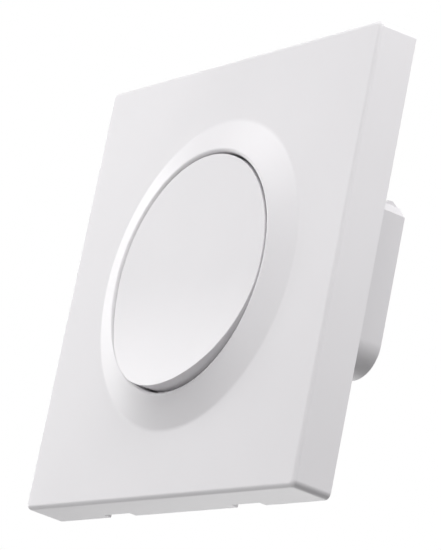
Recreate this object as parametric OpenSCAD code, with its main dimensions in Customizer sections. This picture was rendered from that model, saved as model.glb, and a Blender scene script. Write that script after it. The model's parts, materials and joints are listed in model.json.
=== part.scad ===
// Smart wall switch with a round paddle. The wall is the plane y = 0 and the front faces -Y.

/* [Cover] */
// Side of the square plate where it meets the wall
plate_size = 86; // [84:0.5:92]
// Depth of the plate from the wall to its front face
plate_depth = 8; // [7.5:0.25:10]
// Draft of each side over the plate's depth
plate_draft = 0.25; // [0.1:0.05:0.6]
// Radius of the plate's four corners
plate_corner_r = 1.3; // [0.6:0.1:3]
// Radius of the plate's front edges
plate_edge_r = 0.8; // [0.2:0.1:1]
// Wall of the plate's sides
cover_wall = 2; // [1.6:0.1:2.4]
// Thickness of the plate's face
cover_face = 2; // [1.4:0.1:2.2]
// Radius of the collar where it leaves the face
collar_base_r = 30; // [29:0.2:34]
// Height of the collar above the face
collar_rise = 2.1; // [1.2:0.1:3]
// Radius of the round opening
opening_r = 23.2; // [22:0.1:25]
// Radius of the opening's rounded lip
lip_r = 0.6; // [0.3:0.1:1]
// Wall of the skirt around the opening
skirt_wall = 1.5; // [1:0.1:2]
// Distance from the skirt's rear edge to the wall plane
skirt_end = 4.5; // [4.2:0.1:5.5]
// Width of each pry notch
notch_w = 8.4; // [5:0.2:11]
// Depth of each pry notch
notch_d = 1.5; // [1:0.1:2.4]
// Distance of each pry notch from the middle
notch_x = 20.4; // [12:0.2:24]
// Thickness of the ribs behind the face
rib_t = 1.2; // [0.8:0.1:1.6]

/* [Rocker] */
// Gap around the rocker in the opening
rocker_gap = 0.45; // [0.3:0.05:0.9]
// Depth of the paddle's flat half below the collar's rim
face_set = 0.1; // [0:0.05:0.4]
// Radius of the dish in the lower half
dish_r = 87; // [80:1:140]
// Distance below the middle at which the dish starts
dish_low = 1.5; // [0:0.5:5]
// Wall of the rocker cap
cap_wall = 1.6; // [1.2:0.1:2]
// Thickness of the rocker tray
tray_t = 1.2; // [1:0.1:1.3]
// Gap between the tray and the hinge bearings
tray_gap = 0.5; // [0.3:0.05:0.7]
// Radius of the posts behind the cap
post_r = 1.5; // [1:0.1:2]
// Distance of the posts from the middle
post_at = 12; // [10:0.5:14]
// Distance of the hinge axis below the top of the opening
hinge_inset = 5.2; // [4.8:0.1:6.5]
// Distance from the hinge axis to the wall plane
hinge_y = 4.2; // [4:0.05:4.3]
// Radius of the hinge pins
pin_r = 0.9; // [0.8:0.05:1]
// Clearance around the hinge pins
pin_clear = 0.06; // [0.04:0.01:0.09]
// Wall around the hinge pins
bearing_wall = 0.74; // [0.6:0.02:0.8]
// Length of each hinge bearing
bearing_len = 2.6; // [2:0.1:3]
// Distance of each bearing's inner end from the middle
bearing_x = 7.4; // [6:0.1:7.6]
// Gap between moving and fixed pieces
run_gap = 0.4; // [0.3:0.05:0.45]
// Rocker travel in degrees
rocker_travel = 1; // [0.6:0.1:1]
// Angle of the retaining tabs from straight down
tab_angle = 36; // [25:1:45]
// Width of each retaining tab
tab_w = 5; // [4:0.5:7]
// Thickness of each retaining tab
tab_t = 1; // [0.8:0.1:1.2]

/* [Frame] */
// Gap between the mounting frame and the cover's side walls
frame_gap = 3; // [2.4:0.1:4]
// Thickness of the frame's plate
frame_t = 1.6; // [1.4:0.1:2]
// Height of the frame's rim from the wall plane
frame_rim_h = 5; // [4.6:0.1:5.4]
// Thickness of the frame's rim
frame_rim_t = 1.5; // [1.2:0.1:1.8]
// Distance of the frame's window from the screw bosses
window_to_boss = 1.5; // [1.4:0.1:3]
// Gap on each side of the radio board in the frame's window
window_side = 1.2; // [0.6:0.1:1.6]
// Gap between the radio board and the top of the frame's window
window_over = 2.5; // [1:0.25:3]
// Gap between the board link and the bottom of the frame's window
window_under = 1.6; // [1:0.1:2]
// Distance of each fixing screw from the frame's side
screw_inset = 7.85; // [7:0.05:9]
// End to end length of each screw slot
slot_len = 8; // [6:0.5:9]
// Half the width of each screw slot
slot_r = 2.2; // [2:0.1:2.5]
// Distance of each cover clip from the frame's corner
clip_inset = 7; // [6:0.5:9]
// Width of each cover clip
clip_w = 6; // [4:0.5:7]
// Thickness of each cover clip
clip_t = 1.6; // [1.2:0.1:1.8]
// Gap around each cover clip
clip_gap = 0.3; // [0.2:0.05:0.4]
// Radius of the frame's locating pegs
peg_r = 0.8; // [0.6:0.1:1]
// Height of the locating pegs above the screw slots
peg_over = 3; // [2:0.25:4]
// Distance of the locating pegs from the boards' edge
peg_inset = 3.8; // [3.4:0.1:4.4]
// Radius of the rubber bumpers
bumper_r = 1.5; // [1:0.1:2]
// Depth of each bumper's seat in the frame
bumper_seat = 0.6; // [0.4:0.1:0.8]

/* [Housing] */
// Width of the rear housing
housing_w = 50; // [50:0.25:52]
// Depth of the rear housing behind the wall plane
housing_d = 18.2; // [18:0.1:22]
// Top of the rear housing above the middle
housing_top = 18.5; // [18:0.1:19]
// Bottom of the rear housing below the middle
housing_low = 14.3; // [14:0.1:15]
// Wall of the rear housing
housing_wall = 1.8; // [1.5:0.1:2]
// Radius of the lower corners
housing_corner_r = 6.25; // [5:0.25:7]
// Leg of the upper corner chamfers
housing_chamfer = 2; // [1:0.25:2.5]
// Height of the ridge on the housing's top
ridge_h = 1.05; // [0.6:0.05:1.6]
// Distance of the ridge's ends from the upper chamfers
ridge_side = 0.4; // [0.2:0.1:3]
// Length of the ridge's rear slope
ridge_back = 1.8; // [1:0.1:2.4]
// Length of the ridge's flat top
ridge_flat = 0.7; // [0.4:0.1:2]
// Length of the ridge's front slope
ridge_front = 1.3; // [0.6:0.1:2]
// Radius of the screw bosses
boss_r = 2.4; // [2:0.1:2.5]
// Distance of the screw bosses from the housing's sides
boss_inset = 4.6; // [4.4:0.1:4.8]
// Distance of the upper screw bosses from the housing's top
boss_under = 4; // [3.8:0.1:4.4]
// Distance of the lower screw bosses from the housing's bottom
boss_over = 4.7; // [4.5:0.1:5.1]
// Shank radius of the case screws
case_screw_r = 1.1; // [0.9:0.05:1.3]
// Shank length of the case screws
case_screw_len = 9; // [6:0.5:12]
// Head radius of the case screws
case_head_r = 2.1; // [1.8:0.1:2.2]
// Head height of the case screws
case_head_h = 1.2; // [0.8:0.1:1.5]
// Clearance around screws and pegs
screw_clear = 0.1; // [0.05:0.05:0.15]

/* [Boards] */
// Thickness of both circuit boards
board_t = 1.2; // [1:0.1:1.3]
// Gap between a board's edge and the housing
board_gap = 0.4; // [0.3:0.05:0.5]
// Space between the two boards
board_space = 2.8; // [2.6:0.1:3]
// Side of the push switch body
tact_w = 6.2; // [5.8:0.1:6.4]
// Height of the push switch body
tact_h = 3.6; // [3.4:0.1:3.7]
// Radius of the push switch plunger
plunger_r = 1.7; // [1.4:0.1:1.9]
// Distance from the plunger's tip to the wall plane
plunger_tip = 5; // [4.9:0.05:5.1]
// Depth of the plunger's bore
plunger_bore = 1.6; // [1.5:0.1:1.8]
// Distance of the push switch below the middle
push_low = 3.5; // [3:0.25:4.5]
// Gap between the tray's boss and the plunger
press_gap = 0.1; // [0.05:0.05:0.2]
// Clearance around the plunger
plunger_clear = 0.06; // [0.04:0.01:0.09]
// Number of pins in the board link
link_pins = 5; // [3:1:6]
// Pitch of the link's pins
link_pitch = 2.54; // [2:0.27:2.54]
// Radius of the link's pins
link_pin_r = 0.32; // [0.25:0.01:0.35]
// Distance of the link from the boards' lower edge
link_inset = 2.7; // [2.3:0.1:3]

/* [Terminals] */
// Gap between the outer terminals and the screw bosses
terminal_to_boss = 0.5; // [0.3:0.1:0.8]
// Thickness of the partitions between the terminals
partition_t = 1; // [0.8:0.1:1.2]
// Gap between each terminal and its partitions
partition_gap = 0.4; // [0.2:0.05:0.5]
// Height of each terminal block
terminal_h = 7.4; // [7:0.1:7.5]
// Height of the terminal blocks above the power board
terminal_stand = 2.6; // [2:0.1:3]
// Radius of the wire bore
wire_r = 1.7; // [1.3:0.1:1.8]
// Thickness of the stop at the wire bore's end
wire_stop = 0.9; // [0.6:0.1:1.2]
// Extra radius of the wire's entry in the housing
wire_entry = 0.8; // [0.4:0.1:1]
// Shank radius of the clamp screws
clamp_screw_r = 1.5; // [1.2:0.05:1.7]
// Head radius of the clamp screws
clamp_head_r = 2.4; // [2:0.1:2.5]
// Head height of the clamp screws
clamp_head_h = 1.4; // [1:0.1:1.5]
// Clearance around a clamp screw's head in the housing
clamp_head_gap = 0.3; // [0.2:0.05:0.4]
// Distance between a loose clamp screw's tip and the wire bore
clamp_tip_gap = 0.3; // [0.1:0.1:0.6]
// Gap between a terminal block and the housing's top wall
terminal_gap = 0.3; // [0.2:0.05:0.4]
// Side of each solder pin
solder_pin = 0.9; // [0.6:0.1:1.1]

/* [Parts on the power board] */
// Space between parts on the power board
part_gap = 1.3; // [0.8:0.1:1.4]
// Space between the power board's edges and the parts beside them
side_gap = 4.8; // [4.4:0.1:5.4]
// Width of the relay
relay_w = 10; // [8:0.5:10]
// Gap between the relay and the housing's rear wall
relay_gap = 1; // [0.5:0.1:2]
// Side of the transformer
transformer_w = 10.5; // [8:0.5:11]
// Gap between the transformer and the housing's rear wall
transformer_gap = 2.2; // [1:0.1:4]
// Radius of the filter capacitor
capacitor_r = 3.8; // [3:0.1:3.9]
// Length of the filter capacitor
capacitor_l = 11; // [8:0.5:12]
// Radius of the varistor
varistor_r = 3.4; // [2.5:0.1:3.6]
// Thickness of the varistor
varistor_t = 3; // [2:0.2:3.2]
// Radius of the fuse resistor
fuse_r = 1.3; // [1:0.1:1.4]
// Length of the fuse resistor
fuse_l = 7; // [5:0.5:8]
// Side of the rectifier
rectifier_w = 4.8; // [4:0.2:5]
// Height of the rectifier
rectifier_h = 2.4; // [1.6:0.1:3]
// Radius of the choke
choke_r = 2.4; // [1.6:0.1:2.6]
// Height of the choke
choke_h = 6.5; // [4:0.5:8]
// Space between a lying part and its board
lead_gap = 0.3; // [0.1:0.1:0.4]
// Radius of the component leads
lead_r = 0.35; // [0.25:0.05:0.4]
// Length of the leads below the board
lead_out = 0.8; // [0.4:0.1:1]

/* [Parts on the control board] */
// Height of the radio board
radio_h = 16; // [14:0.5:17]
// Thickness of the radio board
radio_t = 0.8; // [0.6:0.1:1]
// Height of the radio shield
shield_h = 1.8; // [1.2:0.1:2]
// Border of bare board around the shield
shield_edge = 1; // [0.5:0.1:1.5]
// Length of the bare aerial end
aerial_len = 4.5; // [3:0.5:6]
// Side of the controller chip
chip_w = 5; // [4:0.5:7]
// Height of the controller chip
chip_h = 0.9; // [0.7:0.1:1.2]

/* [Hidden] */
$fn = 64;

eps = 0.01;
terminal_count = 4;
rim_y = -(plate_depth + collar_rise);
far = 2 * plate_size;
hinge_z = opening_r - hinge_inset;
bearing_r = pin_r + pin_clear + bearing_wall;
tray_back = hinge_y + bearing_r + tray_gap;
disc_r = opening_r - rocker_gap;
cap_inner_r = disc_r - cap_wall;
tray_front = -(tray_back + tray_t);
face_y = rim_y + face_set;
dish_proud = dish_r - sqrt(pow(dish_r, 2) - pow(disc_r - dish_low, 2));
cap_front = face_y - dish_proud;
skirt_r = opening_r + skirt_wall;
tab_r = skirt_r - 0.3;
tab_front = -(skirt_end - run_gap);
tab_back = tab_front + tab_t;
tab_wall_t = 1.2;
tab_wall_r = cap_inner_r - tab_wall_t - 0.2;
tab_drop = (tab_r * cos(tab_angle) + hinge_z) * sin(rocker_travel);
bumper_top = tab_back + tab_drop + 0.1;
bearing_end = bearing_x + bearing_len;
ear_x = bearing_x - run_gap;
ear_t = 1.8;
frame_size = plate_size - 2 * (cover_wall + frame_gap);
rim_out = frame_size / 2;
rim_in = rim_out - frame_rim_t;
rib_end = rim_in * sqrt(2) - 3;
clip_in = rim_out + clip_gap;
clip_x = rim_out - clip_inset;
screw_pitch = frame_size - 2 * screw_inset;
clip_barb = 1.3;
clip_barb_h = 1;
clip_end = 1.4;
clip_window_back = clip_end + 0.4;
clip_window_front = clip_window_back + clip_barb_h + 2 * clip_gap;
control_back = board_t;
power_front = control_back + board_space;
power_back = power_front + board_t;
in_x = housing_w / 2 - housing_wall;
in_top = housing_top - housing_wall;
in_low = housing_low - housing_wall;
in_back = housing_d - housing_wall;
boss_x = housing_w / 2 - boss_inset;
boss_top = housing_top - boss_under;
boss_low = housing_low - boss_over;
board_x = in_x - board_gap;
board_top = in_top - board_gap;
board_low = in_low - board_gap;
board_notch_x = boss_x - boss_r - board_gap;
board_notch_top = boss_top - boss_r - board_gap;
board_notch_low = boss_low - boss_r - board_gap;
link_z = board_low - link_inset;
peg_x = board_x - peg_inset;
peg_z = slot_r + peg_over + peg_r;
link_w = link_pins * link_pitch;
link_body = 2.4;
push_z = -push_low;
plunger_arm = hinge_z - push_z;
plunger_back = -(tact_h - plunger_bore);
terminal_top = in_top - terminal_gap;
terminal_z = terminal_top - terminal_h / 2;
terminal_room = 2 * (boss_x - boss_r - terminal_to_boss);
terminal_space = partition_t + 2 * partition_gap;
terminal_pitch = (terminal_room + terminal_space) / terminal_count;
terminal_w = terminal_pitch - terminal_space;
terminal_front = power_back + terminal_stand;
wire_y = terminal_front + wire_r + 1.1;
clamp_tip = wire_y + wire_r + clamp_tip_gap;
solder_z = board_top - solder_pin - 0.4;
below_terminals = terminal_top - terminal_h - 0.5;
relay_z = below_terminals - relay_w / 2 - 0.2;
varistor_x = board_x - side_gap - varistor_t / 2 - 1;
transformer_x = varistor_x - varistor_t / 2 - part_gap - transformer_w / 2;
relay_l = transformer_x - transformer_w / 2 - part_gap + board_x - side_gap;
relay_x = side_gap - board_x + relay_l / 2;
relay_h = in_back - power_back - relay_gap;
transformer_h = in_back - power_back - transformer_gap;
transformer_z = below_terminals - transformer_w / 2 - 0.2;
varistor_z = below_terminals - varistor_r - 0.6;
capacitor_z = relay_z - relay_w / 2 - 0.6 - capacitor_r;
capacitor_x = relay_x;
rectifier_x = capacitor_x + capacitor_l / 2 + part_gap + rectifier_w / 2 + 2;
rectifier_z = link_body / 2 + part_gap + rectifier_w / 2 - link_z - 1.5;
choke_x = rectifier_x + rectifier_w / 2 + part_gap + 2 + choke_r;
choke_z = -(board_low - choke_r - 1.4);
fuse_x = board_x - 3 - fuse_l / 2;
fuse_z = varistor_z - varistor_r - part_gap - fuse_r - 2.2;
window_x = boss_x - boss_r - window_to_boss;
radio_w = window_x - tact_w / 2 - 2 * window_side;
radio_x = -(tact_w / 2 + window_side + radio_w / 2);
radio_z = 0;
window_top = radio_h / 2 + window_over;
window_low = link_z + window_under;
chip_x = tact_w / 2 + 1.6 + chip_w / 2;
chip_z = 3;

// A cylinder along Y from y0 to y1 at x, z
module rod_y(x, z, y0, y1, r) {
    translate([x, y0, z]) rotate([-90, 0, 0]) cylinder(h = y1 - y0, r = r);
}

// A cylinder along X from x0 to x1 at y, z
module rod_x(x0, x1, y, z, r) {
    translate([x0, y, z]) rotate([0, 90, 0]) cylinder(h = x1 - x0, r = r);
}

// A block between two corners
module block(a, b) {
    translate(a) cube(b - a);
}

// A flat shape drawn in X and Z, thickened from y0 to y1
module slab_y(y0, y1) {
    translate([0, y1, 0]) rotate([90, 0, 0]) linear_extrude(height = y1 - y0) children();
}

// A square with round corners
module round_square(size, r) {
    square([size, size - 2 * r], center = true);
    square([size - 2 * r, size], center = true);
    for (x = [-1, 1], z = [-1, 1]) translate([x * (size / 2 - r), z * (size / 2 - r)]) circle(r = r);
}

// Section of the plate: drafted sides and round front edges, drawn as width and depth
module plate_section() {
    half = plate_size / 2;
    lean = atan(plate_draft / plate_depth);
    yc = -plate_depth + plate_edge_r;
    xc = half + plate_draft * yc / plate_depth - plate_edge_r / cos(lean);
    side = [xc + plate_edge_r * cos(lean), yc - plate_edge_r * sin(lean)];
    polygon([[-half, 0], [half, 0], side, [xc, -plate_depth], [-xc, -plate_depth], [-side[0], side[1]]]);
    for (s = [-1, 1]) translate([s * xc, yc]) circle(r = plate_edge_r);
}

module plate_body() {
    intersection() {
        translate([0, 0, -plate_size]) linear_extrude(height = 2 * plate_size) plate_section();
        rotate([0, 90, 0]) translate([0, 0, -plate_size])
            linear_extrude(height = 2 * plate_size) plate_section();
        slab_y(-plate_depth - 1, 1) round_square(plate_size, plate_corner_r);
    }
}

// Collar and skirt, turned about the Y axis: radius across, depth along
module collar_body() {
    rotate([90, 0, 0]) rotate_extrude() {
        polygon([
            [opening_r, skirt_end], [skirt_r, skirt_end],
            [skirt_r, plate_depth - cover_face / 2], [collar_base_r, plate_depth - cover_face / 2],
            [collar_base_r, plate_depth], [opening_r + lip_r, -rim_y],
            [opening_r, -rim_y - lip_r]
        ]);
        translate([opening_r + lip_r, -rim_y - lip_r]) circle(r = lip_r);
    }
}

// One clip that hangs from the cover's face at the top or bottom
module cover_clip(x, side) {
    inner = side * clip_in;
    outer = side * (clip_in + clip_t);
    barb = side * (clip_in - clip_barb);
    lo = min(inner, outer);
    hi = max(inner, outer);
    block([x - clip_w / 2, -(plate_depth - cover_face + eps), lo], [x + clip_w / 2, -clip_end, hi]);
    block(
        [x - clip_w / 2, -(clip_window_back + clip_gap + clip_barb_h), min(barb, inner)],
        [x + clip_w / 2, -(clip_window_back + clip_gap), max(barb, inner)]
    );
}

module front_cover() {
    inside = plate_size / 2 - cover_wall;
    face_back = -(plate_depth - cover_face);
    color("whitesmoke") difference() {
        union() {
            difference() {
                plate_body();
                block([-inside, face_back, -inside], [inside, 1, inside]);
                rod_y(0, 0, -plate_depth - 1, 1, opening_r + skirt_wall / 2);
            }
            collar_body();
            for (x = [-clip_x, clip_x], side = [-1, 1]) cover_clip(x, side);
            for (a = [45:90:315]) rotate([0, a, 0])
                block([skirt_r - 0.5, face_back - eps, -rib_t / 2], [rib_end, -skirt_end, rib_t / 2]);
        }
        for (s = [-1, 1]) block(
            [s * notch_x - notch_w / 2, -notch_d, -plate_size / 2 - 1],
            [s * notch_x + notch_w / 2, 1, -inside + 0.5]
        );
    }
}

// The space in front of the paddle's face, moved back by an offset
module dish_space(offset_y) {
    y = face_y + offset_y;
    block([-far, y - far, -dish_low], [far, y, far]);
    intersection() {
        rod_x(-far, far, y - dish_r, -dish_low, dish_r);
        block([-far, y - far, -far], [far, y + 1, -dish_low]);
    }
}

// The space in front of the cap's face inside a radius, from front to back
module cap_blank(r, offset_y, back) {
    difference() {
        rod_y(0, 0, cap_front - 1, back, r);
        dish_space(offset_y);
    }
}

module rocker_cap() {
    posts = [[-post_at, 0], [post_at, 0], [0, 8], [-8, -post_at], [8, -post_at]];
    color("white") union() {
        difference() {
            cap_blank(disc_r, 0, -tray_back);
            cap_blank(cap_inner_r, cap_wall, 1);
        }
        intersection() {
            cap_blank(disc_r - 0.2, cap_wall / 2, tray_front);
            union() for (p = posts) rod_y(p[0], p[1], cap_front - 1, tray_front, post_r);
        }
    }
}

// One ear of the tray with its hinge pin, on the side given by s
module tray_ear(s) {
    a = s > 0 ? ear_x - ear_t : -ear_x;
    b = s > 0 ? ear_x : -(ear_x - ear_t);
    block([a, -tray_back - eps, hinge_z - bearing_r], [b, -hinge_y, hinge_z + bearing_r]);
    rod_x(a, b, -hinge_y, hinge_z, bearing_r);
    rod_x(s > 0 ? a : -bearing_end, s > 0 ? bearing_end : b, -hinge_y, hinge_z, pin_r);
}

// One retaining tab that reaches under the cover's skirt
module tray_tab(angle) {
    rotate([0, angle, 0]) {
        block([-tab_w / 2, -tray_back - eps, -tab_wall_r - tab_wall_t], [tab_w / 2, tab_back, -tab_wall_r]);
        intersection() {
            block([-tab_w / 2, tab_front, -tab_r - 1], [tab_w / 2, tab_back, -tab_wall_r]);
            rod_y(0, 0, tab_front - 1, tab_back + 1, tab_r);
        }
    }
}

module rocker_tray() {
    color("gainsboro") union() {
        rod_y(0, 0, tray_front, -tray_back, cap_inner_r);
        for (s = [-1, 1]) tray_ear(s);
        for (a = [-tab_angle, tab_angle]) tray_tab(a);
        rod_y(0, push_z, -tray_back - eps, -(plunger_tip + press_gap), plunger_r - 0.1);
        for (x = [-9, 9]) block([x - 0.5, -tray_back - eps, -14], [x + 0.5, -tray_back + 0.8, 12]);
    }
}

// One snap bearing for a hinge pin, open towards the front
module bearing(s) {
    a = s > 0 ? bearing_x : -bearing_end;
    b = s > 0 ? bearing_end : -bearing_x;
    difference() {
        union() {
            rod_x(a, b, -hinge_y, hinge_z, bearing_r);
            block([a, -hinge_y, hinge_z - bearing_r], [b, -frame_t + eps, hinge_z + bearing_r]);
        }
        rod_x(a - 1, b + 1, -hinge_y, hinge_z, pin_r + pin_clear);
        block([a - 1, -hinge_y - 3, hinge_z - pin_r * 0.75], [b + 1, -hinge_y, hinge_z + pin_r * 0.75]);
    }
}

module screw_slot(x, y0, y1, r) {
    for (s = [-1, 1]) rod_y(x + s * (slot_len / 2 - slot_r), 0, y0, y1, r);
    block([x - slot_len / 2 + slot_r, y0, -r], [x + slot_len / 2 - slot_r, y1, r]);
}

// The window in the frame's rim for one cover clip
module clip_window(x, side) {
    near = side * (rim_in - 1);
    away = side * (rim_out + 1);
    half = clip_w / 2 + clip_gap;
    block([x - half, -clip_window_front, min(near, away)], [x + half, -clip_window_back, max(near, away)]);
}

module mounting_frame() {
    color("lightgray") union() {
        difference() {
            union() {
                slab_y(-frame_t, 0) round_square(frame_size, 2);
                difference() {
                    slab_y(-frame_rim_h, 0) round_square(frame_size, 2);
                    block([-rim_in, -frame_rim_h - 1, -rim_in], [rim_in, 1, rim_in]);
                }
                block(
                    [-window_x - rib_t, -frame_t - 1, -window_low - rib_t],
                    [window_x + rib_t, 0, window_top + rib_t]
                );
                for (s = [-1, 1]) screw_slot(s * screw_pitch / 2, -frame_t - 0.6, 0, slot_r + 1.6);
            }
            block([-window_x, -9, -window_low], [window_x, 1, window_top]);
            for (s = [-1, 1]) screw_slot(s * screw_pitch / 2, -9, 1, slot_r);
            for (x = [-1, 1], z = [boss_top, -boss_low])
                rod_y(x * boss_x, z, -9, 1, case_screw_r + screw_clear);
            for (x = [-clip_x, clip_x], side = [-1, 1]) clip_window(x, side);
            for (s = [-1, 1]) rod_y(bumper_x(s), bumper_z(), -9, -frame_t + bumper_seat, bumper_r);
        }
        for (s = [-1, 1]) bearing(s);
        for (s = [-1, 1]) rod_y(s * peg_x, peg_z, -eps, board_t + 0.6, peg_r);
    }
}

function bumper_at() = tab_r - bumper_r - 0.3;
function bumper_x(s) = s * bumper_at() * sin(tab_angle);
function bumper_z() = -bumper_at() * cos(tab_angle);

module bumper(s) {
    color("dimgray") rod_y(bumper_x(s), bumper_z(), bumper_top, -frame_t + bumper_seat, bumper_r);
}

// Outline of the housing in X and Z, inset by a wall
module housing_outline(w) {
    x = housing_w / 2 - w;
    top = housing_top - w;
    low = housing_low - w;
    r = housing_corner_r - w;
    c = housing_chamfer - w * (2 - sqrt(2));
    cut = max(c, 0.01);
    polygon([
        [-x + r, -low], [x - r, -low], [x, -low + r], [x, top - cut],
        [x - cut, top], [-x + cut, top], [-x, top - cut], [-x, -low + r]
    ]);
    for (s = [-1, 1]) translate([s * (x - r), -low + r]) circle(r = r);
}

// The low ridge across the housing's top, drawn as depth and height
module ridge() {
    x = housing_w / 2 - housing_chamfer - ridge_side;
    foot = housing_top - housing_wall / 2;
    peak = housing_top + ridge_h;
    flat_end = housing_d - ridge_back;
    flat_start = flat_end - ridge_flat;
    rotate([90, 0, 90]) translate([0, 0, -x]) linear_extrude(height = 2 * x) polygon([
        [flat_start - ridge_front, foot], [flat_start - ridge_front, housing_top], [flat_start, peak],
        [flat_end, peak], [housing_d, housing_top], [housing_d, foot]
    ]);
}

function terminal_x(i) = (i - (terminal_count - 1) / 2) * terminal_pitch;

module rear_housing() {
    color("lightsteelblue") union() {
        difference() {
            union() {
                slab_y(0, housing_d) housing_outline(0);
                ridge();
            }
            difference() {
                slab_y(-1, in_back) housing_outline(housing_wall);
                for (x = [-1, 1], z = [boss_top, -boss_low]) rod_y(x * boss_x, z, 0, in_back + 1, boss_r);
                for (i = [0:terminal_count - 2]) block(
                    [terminal_x(i) + (terminal_pitch - partition_t) / 2, terminal_front, terminal_top - terminal_h],
                    [terminal_x(i) + (terminal_pitch + partition_t) / 2, in_back + 1, in_top + 1]
                );
                for (s = [-1, 1]) block(
                    [s * (in_x - 0.6) - 0.9, power_back, -4],
                    [s * (in_x - 0.6) + 0.9, in_back + 1, 4]
                );
            }
            for (x = [-1, 1], z = [boss_top, -boss_low])
                rod_y(x * boss_x, z, -1, case_screw_len - frame_t + 1, case_screw_r + screw_clear / 2);
            for (i = [0:terminal_count - 1]) {
                rod_y(terminal_x(i), terminal_z, in_back - 1, housing_d + 1, clamp_head_r + clamp_head_gap);
                translate([terminal_x(i), wire_y, in_top - 1])
                    cylinder(h = housing_wall + 2, r = wire_r + wire_entry);
            }
        }
    }
}

// Outline of both boards: cut back at the corners for the screw bosses
module board_outline() {
    difference() {
        translate([-board_x, -board_low]) square([2 * board_x, board_low + board_top]);
        for (s = [-1, 1]) {
            translate([s * board_x, -board_low])
                square([2 * (board_x - board_notch_x), 2 * (board_low - board_notch_low)], center = true);
            translate([s * board_x, board_top])
                square([2 * (board_x - board_notch_x), 2 * (board_top - board_notch_top)], center = true);
        }
    }
}

function link_x(i) = (i - (link_pins - 1) / 2) * link_pitch;

module control_board() {
    color("seagreen") difference() {
        slab_y(0, control_back) board_outline();
        for (i = [0:link_pins - 1]) rod_y(link_x(i), -link_z, -1, control_back + 1, link_pin_r + 0.05);
        for (s = [-1, 1]) rod_y(s * peg_x, peg_z, -1, control_back + 1, peg_r + screw_clear);
    }
}

module power_board() {
    color("darkgreen") difference() {
        slab_y(power_front, power_back) board_outline();
        for (i = [0:link_pins - 1]) rod_y(link_x(i), -link_z, 0, power_back + 1, link_pin_r + 0.05);
        for (i = [0:terminal_count - 1]) rod_y(terminal_x(i), solder_z, 0, power_back + 1, solder_pin * 0.8);
        for (p = lead_places()) rod_y(p[0], p[1], 0, power_back + 1, lead_r + 0.1);
    }
}

// Places in X and Z of each part's leads
function relay_leads() = [
    [relay_x - relay_l / 2 + 2, relay_z - 3], [relay_x - relay_l / 2 + 2, relay_z + 3],
    [relay_x + relay_l / 2 - 2, relay_z]
];
function transformer_leads() = [
    for (x = [-1, 1], z = [-1, 1])
        [transformer_x + x * (transformer_w / 2 - 1.2), transformer_z + z * (transformer_w / 2 - 1.2)]
];
function capacitor_leads() = [for (s = [-1, 1]) [capacitor_x + capacitor_l / 2 - 1, capacitor_z + s]];
function varistor_leads() = [for (s = [-1, 1]) [varistor_x, varistor_z + s * 2]];
function fuse_leads() = [for (s = [-1, 1]) [fuse_x + s * (fuse_l / 2 - 0.6), fuse_z]];
function choke_leads() = [for (s = [-1, 1]) [choke_x + s, choke_z]];
function lead_places() = concat(
    relay_leads(), transformer_leads(), capacitor_leads(), varistor_leads(), fuse_leads(), choke_leads()
);

// Leads from inside a part down through the power board
module leads(places, y_top) {
    for (p = places) rod_y(p[0], p[1], power_front - lead_out, y_top, lead_r);
}

module push_switch() {
    half = tact_w / 2;
    color("dimgray") difference() {
        block([-half, -tact_h, push_z - half], [half, 0, push_z + half]);
        rod_y(0, push_z, -tact_h - 1, plunger_back, plunger_r + plunger_clear);
    }
}

module push_plunger() {
    stroke = plunger_arm * sin(rocker_travel) + 0.1;
    color("orange") rod_y(0, push_z, -plunger_tip, plunger_back - stroke, plunger_r);
}

module radio_board() {
    color("steelblue") block(
        [radio_x - radio_w / 2, -radio_t, radio_z - radio_h / 2],
        [radio_x + radio_w / 2, 0, radio_z + radio_h / 2]
    );
}

module radio_shield() {
    color("silver") block(
        [radio_x - radio_w / 2 + shield_edge, -radio_t - shield_h, radio_z - radio_h / 2 + shield_edge],
        [radio_x + radio_w / 2 - shield_edge, -radio_t, radio_z + radio_h / 2 - aerial_len]
    );
}

module controller_chip() {
    color("black") block(
        [chip_x - chip_w / 2, -chip_h, chip_z - chip_w / 2],
        [chip_x + chip_w / 2, 0, chip_z + chip_w / 2]
    );
}

module board_link() {
    color("goldenrod") union() {
        block(
            [-link_w / 2, control_back, -link_z - link_body / 2],
            [link_w / 2, power_front, -link_z + link_body / 2]
        );
        for (i = [0:link_pins - 1]) rod_y(link_x(i), -link_z, -0.6, power_back + 0.6, link_pin_r);
    }
}

module relay() {
    color("royalblue") union() {
        block(
            [relay_x - relay_l / 2, power_back, relay_z - relay_w / 2],
            [relay_x + relay_l / 2, power_back + relay_h, relay_z + relay_w / 2]
        );
        leads(relay_leads(), power_back + 1);
    }
}

module transformer() {
    half = transformer_w / 2;
    color("khaki") union() {
        block(
            [transformer_x - half, power_back, transformer_z - half],
            [transformer_x + half, power_back + transformer_h, transformer_z + half]
        );
        leads(transformer_leads(), power_back + 1);
    }
}

module filter_capacitor() {
    y = power_back + lead_gap + capacitor_r;
    color("slategray") union() {
        rod_x(capacitor_x - capacitor_l / 2, capacitor_x + capacitor_l / 2, y, capacitor_z, capacitor_r);
        leads(capacitor_leads(), y);
    }
}

module varistor() {
    y = power_back + lead_gap + varistor_r;
    color("teal") union() {
        rod_x(varistor_x - varistor_t / 2, varistor_x + varistor_t / 2, y, varistor_z, varistor_r);
        leads(varistor_leads(), y);
    }
}

module fuse_resistor() {
    y = power_back + lead_gap + fuse_r;
    color("tan") union() {
        rod_x(fuse_x - fuse_l / 2, fuse_x + fuse_l / 2, y, fuse_z, fuse_r);
        leads(fuse_leads(), y);
    }
}

module rectifier() {
    half = rectifier_w / 2;
    color("black") block(
        [rectifier_x - half, power_back, rectifier_z - half],
        [rectifier_x + half, power_back + rectifier_h, rectifier_z + half]
    );
}

module choke() {
    color("darkslategray") union() {
        rod_y(choke_x, choke_z, power_back, power_back + choke_h, choke_r);
        leads(choke_leads(), power_back + 1);
    }
}

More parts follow.
